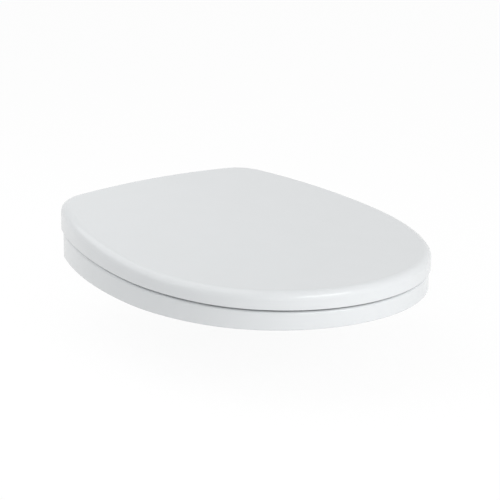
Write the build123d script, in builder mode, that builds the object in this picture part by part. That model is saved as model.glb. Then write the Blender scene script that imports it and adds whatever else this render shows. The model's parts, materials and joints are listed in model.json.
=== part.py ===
"""Toilet seat: a hollow crowned lid over a hollow ring, both turning on one steel hinge bar.

Millimetres. The top of the bowl is z = 0 and the front of the seat points to -Y.
The hinge bar lies along X, straight above the two fixing studs.
"""
import os
from math import acos, atan, atan2, cos, degrees, hypot, radians, sin, sqrt

from build123d import *

os.makedirs("parts", exist_ok=True)

# Plan line of the lid
LID_WIDTH = 368.0
LID_REAR_RUN = 225.0  # rear edge to the widest place
LID_FRONT_RUN = 215.0  # widest place to the nose
NOSE_TUCK = 8.5  # half the width less the radius of the nose
SIDE_R = 500.0
CORNER_R = 45.0
REAR_R = 1300.0

# Lid
LID_REAR_H = 35.3
LID_FRONT_H = 20.4
LID_CROWN = 6.7  # rise of the middle line over the two sides
LID_WALL = 5.0
LID_EDGE_R = 9.4
RIM_R = 1.0
LID_GAP = 3.0

# Ring
SEAT_REAR_H = 32.0
SEAT_FRONT_H = 20.4
SEAT_INSET = 2.5
SEAT_WALL = 5.0
SEAT_TOP_T = 6.5
SEAT_EDGE_R = 3.0
LIP_WALL = 8.0
LIP_R = 15.6
CHANNEL_R = 5.0
BASE_R = 1.5

# Opening of the ring
OPENING_WIDTH = 225.0
OPENING_REAR_RUN = 134.0  # rear end to the widest place
OPENING_FRONT_RUN = 151.0  # widest place to the front end
OPENING_REAR_TUCK = 18.0  # half the width less the radius of the rear end
OPENING_NOSE_TUCK = 27.0  # half the width less the radius of the front end
RING_FRONT = 73.0  # width of the ring at the nose

# Hinge bar and lugs
BAR_R = 5.0
RUNNING_CLEAR = 0.06
BUSH_WALL = 1.5
FLANGE_R = 9.0
FLANGE_T = 1.0
LUG_WALL = 3.5
LUG_W = 22.0
LUG_SINK = 4.0  # depth of a lug's root in the wall that carries it
LUG_ROOT_RISE = 2.0  # underside of the ring to a lug's root
LUG_ROOT_DROP = 17.0  # top of the ring to the root of its lug
LUG_BLOCK = 30.0  # solid block behind a lug, from the rear of the ring
SIDE_CLEAR = 0.5
HINGE_RISE = 5.0  # hinge axis over the lid's lower edge at the rear
REAR_CLEAR = 3.9  # lug knuckle to the lid's rear edge

# Posts and fixings
FIXING_CENTRES = 155.0
POST_W = 20.0
BARREL_WALL = 5.5
BAR_SEAT_CLEAR = 0.1
FOOT_CLEAR = 0.4
FOOT_H = 7.0
FOOT_ROUND = 2.5
STEM_R = 10.0
STEM_TAPER = 3.0
STEM_ROUND = 3.0
GASKET_T = 2.0
GASKET_HOLE_CLEAR = 1.0
STUD_R = 4.0
THREAD_R = 3.6
STUD_UP = 16.0
BOWL_GRIP = 16.0
STUD_TAIL = 24.0
STUD_CHAMFER = 0.8
RUBBER_R = 13.0
RUBBER_T = 3.0
WASHER_R = 11.0
WASHER_T = 1.6
WASHER_CLEAR = 0.5
NUT_R = 8.0
NUT_H = 11.0
WING_REACH = 13.5
WING_T = 3.2
WING_H = 13.0
WING_DROP = 1.0
WING_CORNER_R = 3.0
GRUB_R = 2.0
GRUB_KEY = 2.0  # socket, across the flats
GRUB_KEY_DEPTH = 1.6
GRUB_SUNK = 0.3
CAP_WALL = 1.5
CAP_GRIP = 3.0
CAP_CLEAR = 0.05
CAP_ROUND = 1.2

# Buffers, placed by their direction from the widest place of the opening
SEAT_BUFFER_ANGLES = {"rear": 42.0, "front": -47.0}
LID_BUFFER_ANGLES = {"rear": 12.0, "front": -62.0}
BUFFER_H = 5.0
BUFFER_L = 36.0
BUFFER_W = 14.0
BUFFER_EDGE_R = 1.5
PLUG_R = 3.0
PLUG_L = 8.0
PLUG_PITCH = 18.0
BOSS_WALL = 3.0
LID_PAD_R = 6.5
LID_PAD_H = 4.0
LID_PAD_CLEAR = 0.3
LID_PLUG_R = 2.5
LID_PLUG_L = 5.0
LID_BOSS_WALL = 2.0

# Derived sizes of the hinge
bush_in_r = BAR_R + RUNNING_CLEAR
bush_r = bush_in_r + BUSH_WALL
knuckle_r = bush_r + LUG_WALL
rear_gap = knuckle_r + REAR_CLEAR
rear_y = -rear_gap
lid_length = LID_REAR_RUN + LID_FRONT_RUN
tip_y = rear_y - lid_length
post_x = FIXING_CENTRES / 2
lug_step = FLANGE_T + SIDE_CLEAR
seat_lug_x = post_x - POST_W / 2 - lug_step - LUG_W
lid_lug_x = seat_lug_x - lug_step - LUG_W
foot_r = rear_gap + SEAT_INSET - FOOT_CLEAR
barrel_r = BAR_R + BARREL_WALL

# Derived heights
seat_rear_z = BUFFER_H + SEAT_REAR_H
seat_front_z = BUFFER_H + SEAT_FRONT_H
lid_rear_z = seat_rear_z + LID_GAP
lid_front_z = seat_front_z + LID_GAP
top_rear_z = lid_rear_z + LID_REAR_H
top_front_z = lid_front_z + LID_FRONT_H
hinge_z = lid_rear_z + HINGE_RISE
edge_r = min(LID_EDGE_R, LID_FRONT_H - RIM_R)
lip_r = min(LIP_R, SEAT_FRONT_H - 2 * BASE_R)
above_all = 2 * top_rear_z


def sloped(rear_z, front_z):
    """Plane that falls from the rear edge of the lid to its nose."""
    angle = atan((rear_z - front_z) / lid_length)
    return Plane(origin=(0, rear_y, rear_z), x_dir=(1, 0, 0), z_dir=(0, -sin(angle), cos(angle)))


def heading(start, end):
    """Direction from one point to another, in degrees."""
    return degrees(atan2(end[1] - start[1], end[0] - start[0]))


def shoulder_radius(half, run, end_r):
    """Radius of the arc that leaves the widest place square and runs smoothly into an end arc."""
    return (half**2 + (run - end_r) ** 2 - end_r**2) / (2 * (half - end_r))


def knuckle_touch(target, turn):
    """Point on the knuckle, in the YZ view, where a line from the target just touches it."""
    away = hypot(target[0], target[1] - hinge_z)
    angle = radians(heading((0, hinge_z), target)) + turn * acos(knuckle_r / away)
    return (knuckle_r * cos(angle), hinge_z + knuckle_r * sin(angle))


seat_top = sloped(seat_rear_z, seat_front_z)
lid_under = sloped(lid_rear_z, lid_front_z)

# Plan line of the lid: tangent arcs of the right-hand half, from the nose to the rear
half_width = LID_WIDTH / 2
widest_y = rear_y - LID_REAR_RUN
nose_r = half_width - NOSE_TUCK
nose_c = (0, tip_y + nose_r)
shoulder_r = shoulder_radius(half_width, LID_FRONT_RUN, nose_r)
shoulder_c = (half_width - shoulder_r, widest_y)
side_c = (half_width - SIDE_R, widest_y)
rear_c = (0, rear_y - REAR_R)

# The corner arc touches the side arc and the rear arc from inside
reach_side = SIDE_R - CORNER_R
reach_rear = REAR_R - CORNER_R
apart = hypot(rear_c[0] - side_c[0], rear_c[1] - side_c[1])
along = (reach_side**2 - reach_rear**2 + apart**2) / (2 * apart)
across = sqrt(reach_side**2 - along**2)
ux = (rear_c[0] - side_c[0]) / apart
uy = (rear_c[1] - side_c[1]) / apart
corner_c = (side_c[0] + along * ux - across * uy, side_c[1] + along * uy + across * ux)
nose_angle = heading(shoulder_c, nose_c)
side_angle = heading(side_c, corner_c)
rear_angle = heading(rear_c, corner_c)
lid_arcs = [
    (nose_c, nose_r, -90, nose_angle),
    (shoulder_c, shoulder_r, nose_angle, 0),
    (side_c, SIDE_R, 0, side_angle),
    (corner_c, CORNER_R, side_angle, rear_angle),
    (rear_c, REAR_R, rear_angle, 90),
]

# Plan line of the egg-shaped opening, in the same way
open_half = OPENING_WIDTH / 2
open_tip_y = tip_y + SEAT_INSET + RING_FRONT
open_wide_y = open_tip_y + OPENING_FRONT_RUN
open_rear_y = open_wide_y + OPENING_REAR_RUN
open_nose_r = open_half - OPENING_NOSE_TUCK
open_nose_c = (0, open_tip_y + open_nose_r)
open_front_r = shoulder_radius(open_half, OPENING_FRONT_RUN, open_nose_r)
open_front_c = (open_half - open_front_r, open_wide_y)
open_end_r = open_half - OPENING_REAR_TUCK
open_end_c = (0, open_rear_y - open_end_r)
open_rear_r = shoulder_radius(open_half, OPENING_REAR_RUN, open_end_r)
open_rear_c = (open_half - open_rear_r, open_wide_y)
open_nose_angle = heading(open_front_c, open_nose_c)
open_end_angle = heading(open_rear_c, open_end_c)
opening_arcs = [
    (open_nose_c, open_nose_r, -90, open_nose_angle),
    (open_front_c, open_front_r, open_nose_angle, 0),
    (open_rear_c, open_rear_r, 0, open_end_angle),
    (open_end_c, open_end_r, open_end_angle, 90),
]


def plan_face(arcs, offset):
    """Face inside the arcs and their mirror images, its edge moved outwards by the offset."""
    with BuildSketch() as plan:
        with BuildLine():
            for centre, radius, start, end in arcs:
                CenterArc(centre, radius + offset, start, end - start)
                CenterArc((-centre[0], centre[1]), radius + offset, 180 - start, start - end)
        make_face()
    return plan.sketch


def reach(arcs, offset, angle):
    """Distance to a plan line from the widest place of the opening, in one direction."""
    dx = cos(radians(angle))
    dy = sin(radians(angle))
    for centre, radius, start, end in arcs:
        ox = -centre[0]
        oy = open_wide_y - centre[1]
        ahead = ox * dx + oy * dy
        inside = ahead**2 - ox**2 - oy**2 + (radius + offset) ** 2
        if inside > 0:
            length = sqrt(inside) - ahead
            hit = (length * dx, open_wide_y + length * dy)
            if length > 0 and start <= heading(centre, hit) <= end:
                return length


def ring_middle(angle):
    """Place halfway across the ring, in one direction from the widest place of the opening."""
    middle = (reach(opening_arcs, 0, angle) + reach(lid_arcs, -SEAT_INSET, angle)) / 2
    return (middle * cos(radians(angle)), open_wide_y + middle * sin(radians(angle)))


lid_outer = plan_face(lid_arcs, 0)
lid_inner = plan_face(lid_arcs, -LID_WALL)
seat_outer = plan_face(lid_arcs, -SEAT_INSET)
seat_inner = plan_face(lid_arcs, -SEAT_INSET - SEAT_WALL)
opening = plan_face(opening_arcs, 0)
opening_lip = plan_face(opening_arcs, LIP_WALL)

# Places of the buffers on both sides
sides = [("left", -1), ("right", 1)]
seat_buffers = []
for end, angle in SEAT_BUFFER_ANGLES.items():
    x, y = ring_middle(angle)
    for side, sign in sides:
        seat_buffers.append((f"seat_buffer_{end}_{side}", sign * x, y, sign * (angle + 90)))

seat_plugs = []
for label, x, y, turn in seat_buffers:
    for half in (-PLUG_PITCH / 2, PLUG_PITCH / 2):
        seat_plugs.append((x + half * cos(radians(turn)), y + half * sin(radians(turn))))

# Lid buffers stand square on the sloped top of the ring
pad_low = seat_top.offset(LID_PAD_CLEAR)
pad_high = pad_low.offset(LID_PAD_H)
seat_tilt = atan((seat_rear_z - seat_front_z) / lid_length)
lid_buffers = []
for end, angle in LID_BUFFER_ANGLES.items():
    x, y = ring_middle(angle)
    for side, sign in sides:
        lid_buffers.append((f"lid_buffer_{end}_{side}", sign * x, (y - rear_y) / cos(seat_tilt)))

# Crown of the lid: a wide round bar whose highest line runs down the middle, from the rear to the nose
crown_r = (half_width**2 + LID_CROWN**2) / (2 * LID_CROWN)
top_tilt = atan((top_rear_z - top_front_z) / lid_length)
crown_end = Plane(
    origin=(0, rear_y + lid_length * cos(top_tilt), top_rear_z + lid_length * sin(top_tilt)),
    x_dir=(1, 0, 0),
    z_dir=(0, -cos(top_tilt), -sin(top_tilt)),
)

# Hollow of the lid, with the buffer bosses left standing
with BuildPart() as lid_hollow:
    with BuildSketch():
        add(lid_inner)
    extrude(amount=above_all)
    with BuildSketch(crown_end):
        with Locations((0, -crown_r)):
            Circle(crown_r - LID_WALL)
    extrude(amount=3 * lid_length, mode=Mode.INTERSECT)
    ceiling = lid_hollow.faces().sort_by(Axis.Z)[-1]
    fillet(ceiling.edges(), edge_r - LID_WALL)
    with BuildSketch(pad_high):
        for label, x, y in lid_buffers:
            with Locations((x, y)):
                Circle(LID_PAD_R + LID_BOSS_WALL)
    extrude(amount=above_all, mode=Mode.SUBTRACT)

# Lid: crowned top, rounded edge, thin wall, two lugs at the rear
lid_root_y = rear_y - LUG_SINK
lid_root_low = (lid_root_y, lid_rear_z + RIM_R)
with BuildPart() as lid:
    with BuildSketch():
        add(lid_outer)
    extrude(amount=above_all)
    split(bisect_by=lid_under, keep=Keep.TOP)
    with BuildSketch(crown_end):
        with Locations((0, -crown_r)):
            Circle(crown_r)
    extrude(amount=3 * lid_length, mode=Mode.INTERSECT)
    top = lid.faces().sort_by(Axis.Z)[-1]
    fillet(top.edges(), edge_r)
    add(lid_hollow.part, mode=Mode.SUBTRACT)
    rim = lid.faces().filter_by(GeomType.PLANE).sort_by(Axis.Z)[0]
    fillet(rim.edges(), RIM_R)
    for x in (lid_lug_x, -lid_lug_x - LUG_W):
        with BuildSketch(Plane.YZ.offset(x)):
            with Locations((0, hinge_z)):
                Circle(knuckle_r)
            with BuildLine():
                Polyline(
                    (0, hinge_z + knuckle_r),
                    (lid_root_y, hinge_z + knuckle_r),
                    lid_root_low,
                    knuckle_touch(lid_root_low, 1),
                    (0, hinge_z),
                    close=True,
                )
            make_face()
        extrude(amount=LUG_W)
    with BuildSketch(Plane.YZ):
        with Locations((0, hinge_z)):
            Circle(bush_r)
    extrude(amount=post_x, both=True, mode=Mode.SUBTRACT)
    with BuildSketch(pad_high):
        for label, x, y in lid_buffers:
            with Locations((x, y)):
                Circle(LID_PLUG_R)
    extrude(amount=LID_PLUG_L, mode=Mode.SUBTRACT)

lid.part.label = "lid"
export_step(lid.part, "parts/lid.step")

# Hollow of the ring, with the buffer bosses and the blocks behind the lugs left standing
with BuildPart() as seat_hollow:
    with BuildSketch(Plane.XY.offset(BUFFER_H)):
        add(seat_inner)
        add(opening_lip, mode=Mode.SUBTRACT)
    extrude(amount=above_all)
    split(bisect_by=seat_top.offset(-SEAT_TOP_T), keep=Keep.BOTTOM)
    ceiling = seat_hollow.faces().sort_by(Axis.Z)[-1]
    fillet(ceiling.edges(), CHANNEL_R)
    with BuildSketch(Plane.XY.offset(BUFFER_H)):
        for label, x, y, turn in seat_buffers:
            with Locations((x, y)):
                SlotOverall(BUFFER_L + 2 * BOSS_WALL, BUFFER_W + 2 * BOSS_WALL, rotation=turn)
        for x in (seat_lug_x, -seat_lug_x - LUG_W):
            with Locations((x, rear_y - LUG_BLOCK)):
                Rectangle(LUG_W, LUG_BLOCK, align=(Align.MIN, Align.MIN))
    extrude(amount=above_all, mode=Mode.SUBTRACT)

# Ring: sloped top, rounded outer edge, wide rounding round the opening, two lugs at the rear
seat_root_y = rear_y - SEAT_INSET - LUG_SINK
seat_root_high = (seat_root_y, seat_rear_z - LUG_ROOT_DROP)
seat_root_low = (seat_root_y, BUFFER_H + LUG_ROOT_RISE)
with BuildPart() as seat_ring:
    with BuildSketch(Plane.XY.offset(BUFFER_H)):
        add(seat_outer)
        add(opening, mode=Mode.SUBTRACT)
    extrude(amount=above_all)
    split(bisect_by=seat_top, keep=Keep.BOTTOM)
    top = seat_ring.faces().sort_by(Axis.Z)[-1]
    fillet(top.outer_wire().edges(), SEAT_EDGE_R)
    top = seat_ring.faces().filter_by(GeomType.PLANE).sort_by(Axis.Z)[-1]
    fillet(top.inner_wires()[0].edges(), lip_r)
    base = seat_ring.faces().filter_by(GeomType.PLANE).sort_by(Axis.Z)[0]
    fillet(base.edges(), BASE_R)
    add(seat_hollow.part, mode=Mode.SUBTRACT)
    for x in (seat_lug_x, -seat_lug_x - LUG_W):
        with BuildSketch(Plane.YZ.offset(x)):
            with Locations((0, hinge_z)):
                Circle(knuckle_r)
            with BuildLine():
                Polyline(
                    knuckle_touch(seat_root_high, -1),
                    seat_root_high,
                    seat_root_low,
                    knuckle_touch(seat_root_low, 1),
                    (0, hinge_z),
                    close=True,
                )
            make_face()
        extrude(amount=LUG_W)
    with BuildSketch(Plane.YZ):
        with Locations((0, hinge_z)):
            Circle(bush_r)
    extrude(amount=post_x, both=True, mode=Mode.SUBTRACT)
    with BuildSketch(Plane.XY.offset(BUFFER_H)):
        for x, y in seat_plugs:
            with Locations((x, y)):
                Circle(PLUG_R)
    extrude(amount=PLUG_L, mode=Mode.SUBTRACT)

seat_ring.part.label = "seat_ring"
export_step(seat_ring.part, "parts/seat_ring.step")

# Rubber buffers under the ring, each pushed in by two plugs
for number, (label, x, y, turn) in enumerate(seat_buffers):
    with BuildPart() as seat_buffer:
        with BuildSketch():
            with Locations((x, y)):
                SlotOverall(BUFFER_L, BUFFER_W, rotation=turn)
        extrude(amount=BUFFER_H)
        fillet(seat_buffer.faces().sort_by(Axis.Z)[0].edges(), BUFFER_EDGE_R)
        with BuildSketch(Plane.XY.offset(BUFFER_H)):
            for plug_x, plug_y in seat_plugs[2 * number : 2 * number + 2]:
                with Locations((plug_x, plug_y)):
                    Circle(PLUG_R)
        extrude(amount=PLUG_L)
    seat_buffer.part.label = label
    export_step(seat_buffer.part, f"parts/{label}.step")

# Round buffers under the lid, each with one plug
for label, x, y in lid_buffers:
    with BuildPart() as lid_buffer:
        with BuildSketch(pad_low):
            with Locations((x, y)):
                Circle(LID_PAD_R)
        extrude(amount=LID_PAD_H)
        fillet(lid_buffer.edges().sort_by(Axis.Z)[0], BUFFER_EDGE_R)
        with BuildSketch(pad_high):
            with Locations((x, y)):
                Circle(LID_PLUG_R)
        extrude(amount=LID_PLUG_L)
    lid_buffer.part.label = label
    export_step(lid_buffer.part, f"parts/{label}.step")

# Nylon bushes in the four lugs, each with its flange on the outer side
for owner, lug_x in (("seat", seat_lug_x), ("lid", lid_lug_x)):
    for side, sign in sides:
        with BuildPart() as bush:
            with BuildSketch(Plane.YZ.offset(sign * lug_x)):
                with Locations((0, hinge_z)):
                    Circle(bush_r)
                    Circle(bush_in_r, mode=Mode.SUBTRACT)
            extrude(amount=sign * LUG_W)
            with BuildSketch(Plane.YZ.offset(sign * (lug_x + LUG_W))):
                with Locations((0, hinge_z)):
                    Circle(FLANGE_R)
                    Circle(bush_in_r, mode=Mode.SUBTRACT)
            extrude(amount=sign * FLANGE_T)
        bush.part.label = f"{owner}_bush_{side}"
        export_step(bush.part, f"parts/{owner}_bush_{side}.step")

# Hinge bar
bar_end = post_x + POST_W / 2 + CAP_GRIP
with BuildPart() as hinge_bar:
    with BuildSketch(Plane.YZ):
        with Locations((0, hinge_z)):
            Circle(BAR_R)
    extrude(amount=bar_end, both=True)

hinge_bar.part.label = "hinge_bar"
export_step(hinge_bar.part, "parts/hinge_bar.step")

# Posts and fixings, one set on each side
grub_in = BAR_R + BAR_SEAT_CLEAR / 2
rubber_z = -BOWL_GRIP - RUBBER_T
washer_z = rubber_z - WASHER_T
nut_z = washer_z - NUT_H
foot_top = GASKET_T + FOOT_H
for side, sign in sides:
    x = sign * post_x

    with BuildPart() as hinge_post:
        with BuildSketch(Plane.XY.offset(GASKET_T)):
            with Locations((x, 0)):
                Circle(foot_r)
        extrude(amount=FOOT_H)
        fillet(hinge_post.edges().sort_by(Axis.Z)[-1], FOOT_ROUND)
        with BuildSketch(Plane.XY.offset(foot_top)):
            with Locations((x, 0)):
                Circle(STEM_R)
        extrude(amount=hinge_z - foot_top, taper=STEM_TAPER)
        stem_root = hinge_post.edges().filter_by_position(Axis.Z, foot_top - 0.01, foot_top + 0.01)
        fillet(stem_root.sort_by(SortBy.LENGTH)[0], STEM_ROUND)
        with BuildSketch(Plane.YZ.offset(x)):
            with Locations((0, hinge_z)):
                Circle(barrel_r)
        extrude(amount=POST_W / 2, both=True)
        with BuildSketch(Plane.YZ.offset(x)):
            with Locations((0, hinge_z)):
                Circle(BAR_R + BAR_SEAT_CLEAR)
        extrude(amount=POST_W, both=True, mode=Mode.SUBTRACT)
        with BuildSketch(Plane.XY.offset(GASKET_T)):
            with Locations((x, 0)):
                Circle(THREAD_R)
        extrude(amount=STUD_UP, mode=Mode.SUBTRACT)
        with BuildSketch(Plane.XZ):
            with Locations((x, hinge_z)):
                Circle(GRUB_R)
        extrude(amount=-2 * barrel_r, mode=Mode.SUBTRACT)
    hinge_post.part.label = f"hinge_post_{side}"
    export_step(hinge_post.part, f"parts/hinge_post_{side}.step")

    with BuildPart() as grub_screw:
        with BuildSketch(Plane.XZ.offset(-grub_in)):
            with Locations((x, hinge_z)):
                Circle(GRUB_R)
        extrude(amount=-(barrel_r - grub_in - GRUB_SUNK))
        with BuildSketch(Plane.XZ.offset(-barrel_r)):
            with Locations((x, hinge_z)):
                RegularPolygon(GRUB_KEY / 2, 6, major_radius=False)
        extrude(amount=GRUB_KEY_DEPTH, mode=Mode.SUBTRACT)
    grub_screw.part.label = f"grub_screw_{side}"
    export_step(grub_screw.part, f"parts/grub_screw_{side}.step")

    with BuildPart() as bar_cap:
        with BuildSketch(Plane.YZ.offset(sign * (post_x + POST_W / 2))):
            with Locations((0, hinge_z)):
                Circle(BAR_R + CAP_CLEAR + CAP_WALL)
        extrude(amount=sign * (CAP_GRIP + CAP_WALL))
        with BuildSketch(Plane.YZ.offset(sign * (post_x + POST_W / 2))):
            with Locations((0, hinge_z)):
                Circle(BAR_R + CAP_CLEAR)
        extrude(amount=sign * CAP_GRIP, mode=Mode.SUBTRACT)
        fillet(bar_cap.edges().sort_by(Axis.X)[-1 if sign > 0 else 0], CAP_ROUND)
    bar_cap.part.label = f"bar_cap_{side}"
    export_step(bar_cap.part, f"parts/bar_cap_{side}.step")

    with BuildPart() as base_gasket:
        with BuildSketch():
            with Locations((x, 0)):
                Circle(foot_r)
                Circle(STUD_R + GASKET_HOLE_CLEAR, mode=Mode.SUBTRACT)
        extrude(amount=GASKET_T)
    base_gasket.part.label = f"base_gasket_{side}"
    export_step(base_gasket.part, f"parts/base_gasket_{side}.step")

    with BuildPart() as fixing_stud:
        with BuildSketch(Plane.XY.offset(-BOWL_GRIP)):
            with Locations((x, 0)):
                Circle(STUD_R)
        extrude(amount=BOWL_GRIP)
        with BuildSketch():
            with Locations((x, 0)):
                Circle(THREAD_R)
        extrude(amount=GASKET_T + STUD_UP)
        with BuildSketch(Plane.XY.offset(-BOWL_GRIP)):
            with Locations((x, 0)):
                Circle(THREAD_R)
        extrude(amount=-STUD_TAIL)
        chamfer(fixing_stud.edges().sort_by(Axis.Z)[0], STUD_CHAMFER)
    fixing_stud.part.label = f"fixing_stud_{side}"
    export_step(fixing_stud.part, f"parts/fixing_stud_{side}.step")

    with BuildPart() as rubber_washer:
        with BuildSketch(Plane.XY.offset(rubber_z)):
            with Locations((x, 0)):
                Circle(RUBBER_R)
                Circle(THREAD_R + WASHER_CLEAR, mode=Mode.SUBTRACT)
        extrude(amount=RUBBER_T)
    rubber_washer.part.label = f"rubber_washer_{side}"
    export_step(rubber_washer.part, f"parts/rubber_washer_{side}.step")

    with BuildPart() as flat_washer:
        with BuildSketch(Plane.XY.offset(washer_z)):
            with Locations((x, 0)):
                Circle(WASHER_R)
                Circle(THREAD_R + WASHER_CLEAR, mode=Mode.SUBTRACT)
        extrude(amount=WASHER_T)
    flat_washer.part.label = f"flat_washer_{side}"
    export_step(flat_washer.part, f"parts/flat_washer_{side}.step")

    with BuildPart() as wing_nut:
        with BuildSketch(Plane.XY.offset(nut_z)):
            with Locations((x, 0)):
                Circle(NUT_R)
        extrude(amount=NUT_H)
        with BuildSketch(Plane.XZ):
            with Locations((x, nut_z + NUT_H - WING_H / 2 - WING_DROP)):
                RectangleRounded(2 * WING_REACH, WING_H, WING_CORNER_R)
        extrude(amount=WING_T / 2, both=True)
        with BuildSketch(Plane.XY.offset(nut_z - WING_H)):
            with Locations((x, 0)):
                Circle(THREAD_R)
        extrude(amount=2 * WING_H + NUT_H, mode=Mode.SUBTRACT)
    wing_nut.part.label = f"wing_nut_{side}"
    export_step(wing_nut.part, f"parts/wing_nut_{side}.step")
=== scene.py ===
# %% [markdown]
# # A white toilet seat, dressed for its photograph
# The solid parts of this seat were drawn in CAD and packed as a fixed frame. This lesson
# loads that frame and gives every piece its finish: glossy white moulded plastic, ground
# steel, chrome, zinc plate, nylon and rubber. The small fixings under the seat are modelled
# again here, with their threads and rounded edges.
# The camera stands where the photographer stood, in front of the seat and to its left.

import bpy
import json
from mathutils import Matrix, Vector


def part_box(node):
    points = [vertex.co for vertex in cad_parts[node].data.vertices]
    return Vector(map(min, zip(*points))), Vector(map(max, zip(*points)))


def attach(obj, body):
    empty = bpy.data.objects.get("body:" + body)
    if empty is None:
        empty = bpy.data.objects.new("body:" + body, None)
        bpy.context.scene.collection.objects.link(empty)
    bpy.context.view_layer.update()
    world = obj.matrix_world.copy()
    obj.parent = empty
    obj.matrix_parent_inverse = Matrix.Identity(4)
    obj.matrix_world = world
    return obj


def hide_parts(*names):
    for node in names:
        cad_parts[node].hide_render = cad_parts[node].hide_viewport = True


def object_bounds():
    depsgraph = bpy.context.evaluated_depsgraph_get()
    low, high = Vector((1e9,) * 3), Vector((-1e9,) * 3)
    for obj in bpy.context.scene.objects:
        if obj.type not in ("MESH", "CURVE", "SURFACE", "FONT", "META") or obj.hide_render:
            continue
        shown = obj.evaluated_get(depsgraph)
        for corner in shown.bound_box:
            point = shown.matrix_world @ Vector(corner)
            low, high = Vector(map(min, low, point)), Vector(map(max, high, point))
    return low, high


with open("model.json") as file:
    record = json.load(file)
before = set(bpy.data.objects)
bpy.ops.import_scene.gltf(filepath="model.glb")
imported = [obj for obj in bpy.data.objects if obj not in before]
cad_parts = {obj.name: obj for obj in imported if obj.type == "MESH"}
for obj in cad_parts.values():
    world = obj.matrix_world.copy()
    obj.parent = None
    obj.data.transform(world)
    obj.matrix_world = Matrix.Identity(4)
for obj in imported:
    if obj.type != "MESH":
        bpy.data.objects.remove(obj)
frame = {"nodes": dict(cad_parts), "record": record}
cad_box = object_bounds()

# %% More tools
import json
from math import ceil, cos, degrees, pi, radians, sin

import bmesh
import bpy
from mathutils import Vector

scene = bpy.context.scene
nodes = frame["nodes"]
MM = 0.001
print("box of the seat, mm:", [[round(v / MM, 1) for v in corner] for corner in cad_box])

# %% [markdown]
# ## The photographer's place
# The seat was photographed with a long lens, from a little above and from the front left.
# A camera in Blender looks along its own -Z, so the direction back to the camera is turned
# into a rotation with `to_track_quat`. A direction is given by two angles, round the seat
# and upwards, because they are easy to read and to change. The lamps use the same two.

# %% Camera
CAMERA_AWAY = 3.64
LENS_MM = 224.6
SENSOR_MM = 36
aim = Vector((0.01587, -0.20141, 0.025))


def direction(around, up):
    """A unit vector, by degrees round the seat from its front and degrees above level."""
    around, up = radians(around), radians(up)
    return Vector((sin(around) * cos(up), -cos(around) * cos(up), sin(up)))


back = direction(-35.313, 16.44)
photo_lens = bpy.data.cameras.new("photo_lens")
photo_lens.sensor_width = SENSOR_MM
photo_lens.lens = LENS_MM
camera = bpy.data.objects.new("camera", photo_lens)
camera.location = aim + back * CAMERA_AWAY
camera.rotation_euler = (-back).to_track_quat("-Z", "Y").to_euler()
scene.collection.objects.link(camera)
scene.camera = camera
scene.view_settings.view_transform = "Standard"
print("camera at", [round(v, 3) for v in camera.location])

# %% [markdown]
# ## How a finish is put together
# Every finish below has the same bones: a pattern that stays on the piece steers the colour
# and the roughness a little, and a finer pattern raises a relief. Object coordinates are in
# metres here, because every piece sits at the origin, so a scale of 1000 means a pattern
# about a millimetre across. One small helper per node keeps the recipes short.

# %% Pattern helpers
def new_finish(name):
    """An empty material, its node tree and its shader."""
    material = bpy.data.materials.new(name)
    material.use_nodes = True
    tree = material.node_tree
    return material, tree, tree.nodes["Principled BSDF"]


def on_piece(tree, stretch=(1, 1, 1)):
    """Coordinates that stay on the piece, drawn out along the axes where the stretch is small."""
    where = tree.nodes.new("ShaderNodeTexCoord")
    mapping = tree.nodes.new("ShaderNodeMapping")
    mapping.inputs["Scale"].default_value = stretch
    tree.links.new(where.outputs["Object"], mapping.inputs["Vector"])
    return mapping.outputs["Vector"]


def cloud(tree, vector, per_metre, detail=2.0):
    """Soft noise with so many patches in a metre."""
    noise = tree.nodes.new("ShaderNodeTexNoise")
    noise.inputs["Scale"].default_value = per_metre
    noise.inputs["Detail"].default_value = detail
    tree.links.new(vector, noise.inputs["Vector"])
    return noise.outputs["Fac"]


print("helpers for patterns are ready")

# %% Colour, roughness and relief helpers
TONE_STOPS = (0.35, 0.65)
PATTERN_ENDS = (0.3, 0.7)


def tones(tree, pattern, first, second):
    """A colour that drifts between two tones."""
    ramp = tree.nodes.new("ShaderNodeValToRGB")
    for stop, position, colour in zip(ramp.color_ramp.elements, TONE_STOPS, (first, second)):
        stop.position = position
        stop.color = (*colour, 1)
    tree.links.new(pattern, ramp.inputs["Fac"])
    return ramp.outputs["Color"]


def span(tree, pattern, low, high):
    """A number that drifts between two values."""
    reach = tree.nodes.new("ShaderNodeMapRange")
    ends = (*PATTERN_ENDS, low, high)
    for socket, value in zip(("From Min", "From Max", "To Min", "To Max"), ends):
        reach.inputs[socket].default_value = value
    tree.links.new(pattern, reach.inputs["Value"])
    return reach.outputs["Result"]


def relief(tree, pattern, height):
    """A surface raised by the pattern, up to a height in metres."""
    bump = tree.nodes.new("ShaderNodeBump")
    bump.inputs["Distance"].default_value = height
    tree.links.new(pattern, bump.inputs["Height"])
    return bump.outputs["Normal"]


print("helpers for colour, roughness and relief are ready")

# %% Put a finish together
finishes = {}


def make_finish(name, colours, rough, patches, grain, depth, stretch=(1, 1, 1), **sockets):
    """A finish for a slot of the record: two tones, a roughness range and a fine relief."""
    material, tree, shader = new_finish(name)
    vector = on_piece(tree, stretch)
    drift = cloud(tree, vector, patches)
    tree.links.new(tones(tree, drift, *colours), shader.inputs["Base Color"])
    tree.links.new(span(tree, drift, *rough), shader.inputs["Roughness"])
    tree.links.new(relief(tree, cloud(tree, vector, grain), depth), shader.inputs["Normal"])
    for socket, value in sockets.items():
        shader.inputs[socket.replace("_", " ")].default_value = value
    finishes[name] = material
    print("finish", name, "with", len(tree.nodes), "nodes")


# %% [markdown]
# ## White duroplast
# Lid and ring are pressed from a hard white resin in a polished steel mould. The surface is
# glossy, a little cool in tone, and very slightly wavy, like the skin of an orange, because
# the resin shrinks as it sets. A clear coat would make it look lacquered, so the gloss comes
# from the shader's own reflection, with a roughness that drifts a little over the surface.

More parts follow.
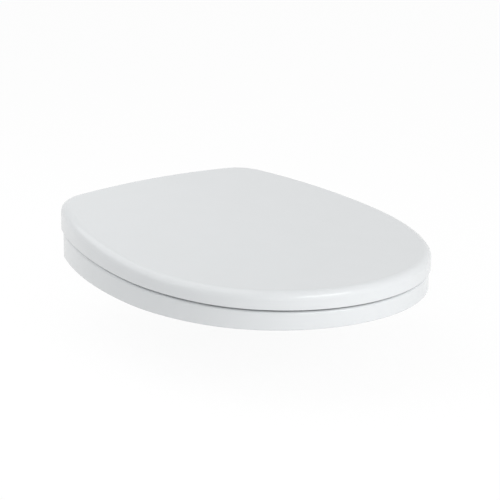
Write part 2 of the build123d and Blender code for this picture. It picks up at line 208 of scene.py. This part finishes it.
# %% Duroplast
make_finish(
    "duroplast",
    colours=((0.780, 0.802, 0.814), (0.786, 0.807, 0.820)),
    rough=(0.14, 0.165),
    patches=24,
    grain=260,
    depth=0.012 * MM,
    IOR=1.5,
)

# %% [markdown]
# ## Ground steel bar
# The hinge bar is stainless rod, ground between two wheels. The wheels leave fine rings
# round the bar. Noise that is squeezed along X and drawn out across it makes such rings
# without any texture picture.

# %% Bar
make_finish(
    "polished_steel",
    colours=((0.55, 0.55, 0.56), (0.61, 0.61, 0.615)),
    rough=(0.22, 0.30),
    patches=60,
    grain=1600,
    depth=0.0008 * MM,
    stretch=(1, 0.03, 0.03),
    Metallic=1.0,
)

# %% [markdown]
# ## Chrome
# The posts and caps are zinc castings, buffed and chrome plated. Chrome is almost a mirror:
# only a slow ripple from the buffing wheel and a trace of haze tell it from a perfect one. A
# pure mirror shader would miss both, so this is the same recipe with a low roughness and a
# coarse, shallow relief.

# %% Chrome
make_finish(
    "chromed_zinc",
    colours=((0.55, 0.555, 0.57), (0.60, 0.605, 0.62)),
    rough=(0.05, 0.11),
    patches=90,
    grain=140,
    depth=0.010 * MM,
    Metallic=1.0,
)

# %% [markdown]
# ## Blackened steel and zinc plate
# The grub screws are heat treated and oiled, which leaves a dark, patchy oxide. Studs and
# flat washers carry bright zinc, which is bluish and a little cloudy. Both are metals, so
# their colour is the colour of their reflection. Patches of one to three millimetres are
# small enough to show on parts of this size.

# %% Screws and washers
make_finish(
    "black_steel",
    colours=((0.020, 0.020, 0.022), (0.055, 0.054, 0.053)),
    rough=(0.34, 0.55),
    patches=700,
    grain=3000,
    depth=0.006 * MM,
    Metallic=0.7,
)
make_finish(
    "zinc_plated_steel",
    colours=((0.46, 0.49, 0.53), (0.60, 0.61, 0.60)),
    rough=(0.24, 0.42),
    patches=350,
    grain=2600,
    depth=0.006 * MM,
    Metallic=1.0,
)

# %% [markdown]
# ## Rubber
# Gaskets, washers and buffers are three mixes of rubber: pale grey, black and off-white.
# Rubber is matt, because its surface is full of fine pits, and it greys where talc stays on
# it. A finer relief and a high roughness give that dry look.

# %% Rubbers
make_finish(
    "gasket_rubber",
    colours=((0.30, 0.30, 0.295), (0.38, 0.38, 0.37)),
    rough=(0.58, 0.78),
    patches=160,
    grain=3500,
    depth=0.03 * MM,
)
make_finish(
    "black_rubber",
    colours=((0.014, 0.014, 0.014), (0.034, 0.034, 0.034)),
    rough=(0.52, 0.74),
    patches=220,
    grain=3500,
    depth=0.03 * MM,
)
make_finish(
    "buffer_rubber",
    colours=((0.58, 0.58, 0.565), (0.66, 0.66, 0.645)),
    rough=(0.48, 0.66),
    patches=180,
    grain=4000,
    depth=0.02 * MM,
)

# %% [markdown]
# ## Nylon
# The bushes and the wing nuts are moulded nylon. Their moulds are spark eroded, which leaves
# a satin grain. Light enters white nylon a little before it comes back, so a touch of
# subsurface scattering softens the edges of the nuts. The bushes sit in their lugs, where
# it would not show.

# %% Nylons
make_finish(
    "white_nylon",
    colours=((0.68, 0.68, 0.66), (0.74, 0.74, 0.72)),
    rough=(0.34, 0.48),
    patches=120,
    grain=2400,
    depth=0.012 * MM,
    Subsurface_Weight=0.08,
    Subsurface_Scale=0.8 * MM,
)
make_finish(
    "grey_nylon",
    colours=((0.43, 0.44, 0.44), (0.50, 0.51, 0.51)),
    rough=(0.34, 0.48),
    patches=120,
    grain=2400,
    depth=0.012 * MM,
)

# %% [markdown]
# ## Finish on every part
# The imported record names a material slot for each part. Following it, rather than a list
# typed here, means that no part is forgotten.

# %% Dress the CAD parts
slot_of = {}
for part in frame["record"]["subparts"]:
    slot_of[part["node"]] = part["material_slot"]
    skin = nodes[part["node"]].data.materials
    skin.clear()
    skin.append(finishes[part["material_slot"]])
print("dressed", len(slot_of), "parts in", len(finishes), "finishes")

# %% [markdown]
# ## Turning a bmesh into a piece
# The fixings below are modelled again with bmesh. Each stands for one CAD node: the node is
# hidden, and the new piece takes its place, its body and its slot. Faces are shaded smooth,
# and edges that turn sharply are kept crisp.

# %% Piece helper
SIDES = ("left", "right")
CRISP = radians(38)


def finish_piece(bm, name, node):
    """Makes a piece of the bmesh, in place of a CAD node."""
    bmesh.ops.recalc_face_normals(bm, faces=bm.faces[:])
    for edge in bm.edges:
        edge.smooth = edge.calc_face_angle(0) < CRISP
    for face in bm.faces:
        face.smooth = True
    open_edges = sum(1 for edge in bm.edges if not edge.is_manifold)
    mesh = bpy.data.meshes.new(name)
    bm.to_mesh(mesh)
    bm.free()
    mesh.materials.append(finishes[slot_of[node]])
    piece = bpy.data.objects.new(name, mesh)
    scene.collection.objects.link(piece)
    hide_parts(node)
    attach(piece, "hinge_and_fixings")
    print(name, "has", len(mesh.polygons), "faces and", open_edges, "open edges")


def middle(node):
    """Lowest and highest corner of a node, and the x and y of its axis."""
    low, high = (Vector(corner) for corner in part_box(node))
    return low, high, (low.x + high.x) / 2, (low.y + high.y) / 2


print("edges stay crisp from", round(degrees(CRISP)), "degrees")

# %% Cutting and picking helpers
TOUCH = 0.0001 * MM


def cut_level(bm, z, way=1, clear=False):
    """Cuts the whole mesh at a height, and clears what lies beyond the cut if asked."""
    bmesh.ops.bisect_plane(
        bm, geom=bm.verts[:] + bm.edges[:] + bm.faces[:], dist=TOUCH,
        plane_co=(0, 0, z), plane_no=(0, 0, way), clear_outer=clear,
    )


def only(kind, made):
    """The verts, the edges or the faces of what an operator made."""
    return [part for part in made["geom"] if isinstance(part, kind)]


print("points within", round(TOUCH / MM, 4), "mm of a cut lie on it")

# %% [markdown]
# ## Threaded studs
# Each post is held by an M8 stud: a thread that screws into the post, a plain shank through
# the bowl, and a longer thread for the nut. A thread is a small tooth that climbs as it
# turns, which is what `bmesh.ops.spin` does when each step also moves along the axis. One
# long thread is spun, cut to length with planes, and opened in the middle for the shank.

# %% Sizes of the thread
PITCH = 1.25 * MM
CREST_R = 3.94 * MM
ROOT_R = 3.24 * MM
STEPS_A_TURN = 30
SAME_POINT = 0.005 * MM
SAME_HEIGHT = 0.001 * MM
# Radius and share of the pitch, up along one tooth
tooth = ((ROOT_R, 0), (ROOT_R, 0.25), (CREST_R, 0.5625), (CREST_R, 0.6875), (ROOT_R, 1))
print("thread depth, mm:", round((CREST_R - ROOT_R) / MM, 2))


# %% Spin and cut a thread
def spun_thread(low_z, high_z):
    """A right-hand thread round the Z axis between two heights, open at its ends."""
    bm = bmesh.new()
    start = low_z - 2 * PITCH
    turns = ceil((high_z - start) / PITCH) + 1
    points = [bm.verts.new((r, 0, start + share * PITCH)) for r, share in tooth]
    flanks = [bm.edges.new(pair) for pair in zip(points, points[1:])]
    bmesh.ops.spin(
        bm, geom=points + flanks, cent=(0, 0, 0), axis=(0, 0, 1),
        dvec=(0, 0, PITCH / STEPS_A_TURN), angle=2 * pi * turns, steps=STEPS_A_TURN * turns,
    )
    bmesh.ops.remove_doubles(bm, verts=bm.verts[:], dist=SAME_POINT)
    cut_level(bm, low_z, way=-1, clear=True)
    cut_level(bm, high_z, way=1, clear=True)
    return bm


low, high, axis_x, axis_y = middle("fixing_stud_left")
stud = spun_thread(low.z, high.z)
print("thread spun with", len(stud.faces), "faces,", round((high.z - low.z) / MM, 1), "mm long")

# %% Shank and ends of a stud
SHANK_R = 4.0 * MM
SHANK_LOW = -16.0 * MM
SHANK_HIGH = 0.0
TIP_R = 2.8 * MM


def loop_at(bm, z):
    """The open edges that lie at one height."""
    rim = [e for e in bm.edges if e.is_boundary]
    return [e for e in rim if all(abs(v.co.z - z) < SAME_HEIGHT for v in e.verts)]


def set_radius(verts, radius):
    """Moves points straight in or out to one distance from the Z axis."""
    for vert in verts:
        vert.co.xy = vert.co.xy.normalized() * radius


def add_shank(bm):
    """Opens the thread between the shank's ends and puts the plain shank there."""
    cut_level(bm, SHANK_LOW)
    cut_level(bm, SHANK_HIGH)
    between = [f for f in bm.faces if SHANK_LOW < f.calc_center_median().z < SHANK_HIGH]
    bmesh.ops.delete(bm, geom=between, context="FACES")
    made = bmesh.ops.extrude_edge_only(bm, edges=loop_at(bm, SHANK_LOW))
    set_radius(only(bmesh.types.BMVert, made), SHANK_R)
    ring = [e for e in only(bmesh.types.BMEdge, made) if e.is_boundary]
    made = bmesh.ops.extrude_edge_only(bm, edges=ring)
    tall = only(bmesh.types.BMVert, made)
    bmesh.ops.translate(bm, verts=tall, vec=(0, 0, SHANK_HIGH - SHANK_LOW))
    bmesh.ops.bridge_loops(bm, edges=loop_at(bm, SHANK_HIGH))


def close_ends(bm, low_z, high_z):
    """Tapers the ends so that a nut starts easily, and closes them."""
    for vert in bm.verts:
        limit = TIP_R + min(vert.co.z - low_z, high_z - vert.co.z)
        if vert.co.xy.length > limit:
            set_radius([vert], limit)
    for z in (low_z, high_z):
        bmesh.ops.edgeloop_fill(bm, edges=loop_at(bm, z))


add_shank(stud)
close_ends(stud, low.z, high.z)
print("shank", round((SHANK_HIGH - SHANK_LOW) / MM, 1), "mm long, stud closed")

# %% Both studs
for side in SIDES:
    low, high, axis_x, axis_y = middle(f"fixing_stud_{side}")
    bm = stud.copy()
    bmesh.ops.translate(bm, verts=bm.verts[:], vec=(axis_x, axis_y, 0))
    finish_piece(bm, f"threaded_stud_{side}", f"fixing_stud_{side}")
stud.free()

# %% [markdown]
# ## Washers and gaskets
# A rubber washer and a steel washer sit over each nut, and a soft gasket under each post.
# All are flat rings. Spinning a small rectangle round the stud's axis makes the ring, and a
# bevel takes off the corners: wide for moulded rubber, narrow for punched steel.

# %% Rounding helper
def sharp_edges(bm):
    """The edges where the surface turns sharply."""
    bmesh.ops.recalc_face_normals(bm, faces=bm.faces[:])
    return [e for e in bm.edges if e.calc_face_angle(0) > CRISP]


def round_edges(bm, edges, radius, segments):
    """A round of one radius along some edges."""
    bmesh.ops.bevel(
        bm, geom=edges, offset=radius, offset_type="OFFSET", affect="EDGES",
        segments=segments, profile=0.5, material=-1,
    )


print("helpers for rounding are ready")

# %% Rings
RING_STEPS = 96
RING_ROUND_STEPS = 4
GASKET_BORE_R = 5.0 * MM
WASHER_BORE_R = 4.1 * MM
GASKET_ROUND = 0.5 * MM
RUBBER_ROUND = 0.6 * MM
STEEL_ROUND = 0.25 * MM


def turned_ring(name, node, bore_r, rounding):
    """A flat ring that fills a node's box, with rounded edges."""
    low, high, axis_x, axis_y = middle(node)
    outer_r = (high.x - low.x) / 2
    bm = bmesh.new()
    section = ((bore_r, low.z), (outer_r, low.z), (outer_r, high.z), (bore_r, high.z))
    points = [bm.verts.new((axis_x + r, axis_y, z)) for r, z in section]
    outline = [bm.edges.new((points[i - 1], points[i])) for i in range(len(points))]
    bmesh.ops.spin(
        bm, geom=points + outline, cent=(axis_x, axis_y, 0), axis=(0, 0, 1),
        angle=2 * pi, steps=RING_STEPS, use_merge=True,
    )
    round_edges(bm, sharp_edges(bm), rounding, RING_ROUND_STEPS)
    finish_piece(bm, name, node)


for side in SIDES:
    turned_ring(f"foot_gasket_{side}", f"base_gasket_{side}", GASKET_BORE_R, GASKET_ROUND)
    turned_ring(f"soft_washer_{side}", f"rubber_washer_{side}", WASHER_BORE_R, RUBBER_ROUND)
    turned_ring(f"punched_washer_{side}", f"flat_washer_{side}", WASHER_BORE_R, STEEL_ROUND)

# %% [markdown]
# ## Wing nuts
# The nuts are turned by hand from below, so each has two wings. A cylinder with 32 sides
# makes the hub. The two sides that face along X are pulled out into a wing, in two steps:
# the first drops its lower edge, the second gives its reach. The old faces are deleted, so
# that no wall is left inside. A wide bevel rounds the tips for the fingers, and a narrow
# one then rounds every edge, as a mould does.

# %% Hub with its bore
HUB_R = 8.0 * MM
HUB_H = 11.0 * MM
HUB_SIDES = 32
HUB_BORE_R = 3.6 * MM


def hub(axis_x, axis_y, top_z):
    """A short cylinder with a hole through it."""
    bm = bmesh.new()
    bmesh.ops.create_cone(
        bm, cap_ends=True, cap_tris=False, segments=HUB_SIDES,
        radius1=HUB_R, radius2=HUB_R, depth=HUB_H,
    )
    bmesh.ops.translate(bm, verts=bm.verts[:], vec=(axis_x, axis_y, top_z - HUB_H / 2))
    caps = [f for f in bm.faces if len(f.verts) == HUB_SIDES]
    wall = HUB_R - HUB_BORE_R
    bmesh.ops.inset_individual(bm, faces=caps, thickness=wall, use_even_offset=True)
    bore_edges = [e for f in caps for e in f.edges]
    bmesh.ops.delete(bm, geom=caps, context="FACES_ONLY")
    bmesh.ops.bridge_loops(bm, edges=bore_edges)
    return bm


print("hub, mm across and high:", round(2 * HUB_R / MM, 1), round(HUB_H / MM, 1))

# %% Pull out a wing
HEAD_ON = 0.97
UPRIGHT = 0.5


def outward_faces(bm, axis_x, way, top_z):
    """The two sides of the hub that face along X, below a height."""
    far = HEAD_ON * HUB_R * cos(pi / HUB_SIDES)
    chosen = []
    for face in bm.faces:
        spot = face.calc_center_median()
        upright = abs(face.normal.z) < UPRIGHT
        if upright and way * (spot.x - axis_x) > far and spot.z < top_z:
            chosen.append(face)
    return chosen


def pull_out(bm, faces, x, low_z, thin=1):
    """Pulls the faces out to a place along X, and takes their lower edge down."""
    made = bmesh.ops.extrude_face_region(bm, geom=faces)
    bmesh.ops.delete(bm, geom=faces, context="FACES")
    points = only(bmesh.types.BMVert, made)
    bottom = min(v.co.z for v in points)
    for point in points:
        point.co.x = x
        point.co.y *= thin
        if point.co.z - bottom < SAME_HEIGHT:
            point.co.z = low_z
    return only(bmesh.types.BMFace, made)


def level_edges(faces):
    """The edges of some faces that lie level."""
    edges = {e for f in faces for e in f.edges}
    return [e for e in edges if e.verts[0].co.z == e.verts[1].co.z]


print("helpers for the wings are ready")

# %% Both wing nuts
WING_DROP = 1.0 * MM
WING_ROOT = 1.2 * MM
TIP_THIN = 0.8
TIP_ROUND = 3.0 * MM
TIP_ROUND_STEPS = 6
NUT_ROUND = 0.7 * MM
NUT_ROUND_STEPS = 3

for side in SIDES:
    node = f"wing_nut_{side}"
    low, high, axis_x, axis_y = middle(node)
    reach = (high.x - low.x) / 2
    wing_top = high.z - WING_DROP
    bm = hub(axis_x, axis_y, high.z)
    cut_level(bm, wing_top)
    for way in (-1, 1):
        faces = outward_faces(bm, axis_x, way, wing_top)
        root = pull_out(bm, faces, axis_x + way * (HUB_R + WING_ROOT), low.z)
        tip = pull_out(bm, root, axis_x + way * reach, low.z, TIP_THIN)
        round_edges(bm, level_edges(tip), TIP_ROUND, TIP_ROUND_STEPS)
    round_edges(bm, sharp_edges(bm), NUT_ROUND, NUT_ROUND_STEPS)
    finish_piece(bm, f"moulded_wing_nut_{side}", node)

# %% [markdown]
# ## Floor
# The photograph is a cut-out on plain white. A white floor lies under the studs, low enough
# for the open lid to stay above it. What the camera, a mirror or glass sees of it is mostly
# a plain glow close to white, so the background stays white, and a little of it is lit
# paper, so the seat keeps a soft shadow. To the lamps' light it is ordinary pale paper.
# From below it is clear, so that the underside of the seat can be looked at.

# %% What a ray sees
def seen_directly(tree):
    """1 for rays from the camera, from a mirror or through glass, and 0 for bounced light."""
    path = tree.nodes.new("ShaderNodeLightPath")
    total = path.outputs["Is Camera Ray"]
    for ray in ("Is Glossy Ray", "Is Transmission Ray"):
        either = tree.nodes.new("ShaderNodeMath")
        either.operation = "MAXIMUM"
        tree.links.new(total, either.inputs[0])
        tree.links.new(path.outputs[ray], either.inputs[1])
        total = either.outputs["Value"]
    return total


def choose(tree, factor, first, second):
    """One shader or the other, by a factor of 0 or 1."""
    mix = tree.nodes.new("ShaderNodeMixShader")
    tree.links.new(factor, mix.inputs["Fac"])
    tree.links.new(first, mix.inputs[1])
    tree.links.new(second, mix.inputs[2])
    return mix.outputs["Shader"]


print("helpers for the background are ready")

# %% Floor paper
PAPER = (0.85, 0.85, 0.85, 1)
SHADOW_PAPER = (0.09, 0.09, 0.09, 1)
GLOW = 0.93

paper = bpy.data.materials.new("floor_paper")
paper.use_nodes = True
tree = paper.node_tree
tree.nodes.clear()
pale = tree.nodes.new("ShaderNodeBsdfDiffuse")
pale.inputs["Color"].default_value = PAPER
glow = tree.nodes.new("ShaderNodeEmission")
glow.inputs["Strength"].default_value = GLOW
faint = tree.nodes.new("ShaderNodeBsdfDiffuse")
faint.inputs["Color"].default_value = SHADOW_PAPER
sheet = tree.nodes.new("ShaderNodeAddShader")
tree.links.new(glow.outputs["Emission"], sheet.inputs[0])
tree.links.new(faint.outputs["BSDF"], sheet.inputs[1])
clear = tree.nodes.new("ShaderNodeBsdfTransparent")
side_seen = tree.nodes.new("ShaderNodeNewGeometry")
top_side = choose(tree, seen_directly(tree), pale.outputs["BSDF"], sheet.outputs["Shader"])
both = choose(tree, side_seen.outputs["Backfacing"], top_side, clear.outputs["BSDF"])
out = tree.nodes.new("ShaderNodeOutputMaterial")
tree.links.new(both, out.inputs["Surface"])
print("floor paper with", len(tree.nodes), "nodes")

# %% Floor
FLOOR_DROP = 40 * MM
FLOOR_REACH = 12

bm = bmesh.new()
bmesh.ops.create_grid(bm, x_segments=1, y_segments=1, size=FLOOR_REACH)
bmesh.ops.translate(bm, verts=bm.verts[:], vec=(0, 0, cad_box[0][2] - FLOOR_DROP))
floor_mesh = bpy.data.meshes.new("floor")
bm.to_mesh(floor_mesh)
bm.free()
floor_mesh.materials.append(paper)
floor = bpy.data.objects.new("floor", floor_mesh)
scene.collection.objects.link(floor)
print("floor at", round(floor_mesh.vertices[0].co.z / MM, 1), "mm")

# %% [markdown]
# ## Light
# The tones on the seat show a large soft lamp to the right of the camera: the right side is
# palest, the left side darkest, and the rounded edge at the nose carries a soft streak. A
# second, weaker one stands high behind the left side. It is near, so its light falls off
# across the lid from left to right, and wide, so the edge there mirrors it only faintly.
# Seen from behind, the glossy lid would mirror the whole front lamp and turn white, so that
# lamp only lights, and a smaller strip that is only mirrored draws the streak. The world
# gives an even fill. Rays that see it directly find plain white.

# %% World
WHITE = (1, 1, 1, 1)
FILL = 0.49
PLAIN = 1.0

world = bpy.data.worlds.new("studio")
scene.world = world
world.use_nodes = True
tree = world.node_tree
fill = tree.nodes["Background"]
fill.inputs["Color"].default_value = WHITE
fill.inputs["Strength"].default_value = FILL
white = tree.nodes.new("ShaderNodeBackground")
white.inputs["Color"].default_value = WHITE
white.inputs["Strength"].default_value = PLAIN
shown = choose(tree, seen_directly(tree), fill.outputs["Background"], white.outputs["Background"])
tree.links.new(shown, tree.nodes["World Output"].inputs["Surface"])
print("fill light", FILL)


# %% Softboxes
def softbox(name, toward, away, size, watts, lights=True, mirrored=True):
    """A wide lamp in one direction from the seat and so far away, which faces the seat."""
    lamp = bpy.data.lights.new(name, "AREA")
    lamp.shape = "RECTANGLE"
    lamp.size, lamp.size_y = size
    lamp.energy = watts
    stand = bpy.data.objects.new(name, lamp)
    out_to = direction(*toward)
    stand.location = aim + out_to * away
    stand.rotation_euler = out_to.to_track_quat("Z", "Y").to_euler()
    stand.visible_camera = False
    stand.visible_diffuse = lights
    stand.visible_glossy = mirrored
    scene.collection.objects.link(stand)
    print(name, "at", [round(v, 2) for v in stand.location], "with", watts, "W")


softbox("front_softbox", toward=(5, 16), away=2.2, size=(2.6, 1.5), watts=28, mirrored=False)
softbox("edge_strip", toward=(0, 29), away=2.2, size=(1.5, 0.6), watts=10.2, lights=False)
softbox("upper_softbox", toward=(-131, 50), away=0.85, size=(1.2, 1.2), watts=3.5)

# %% [markdown]
# ## The end
# Every piece now has its finish, and the lamps and the floor are in place.

# %% Finish
print("the seat is dressed and lit")
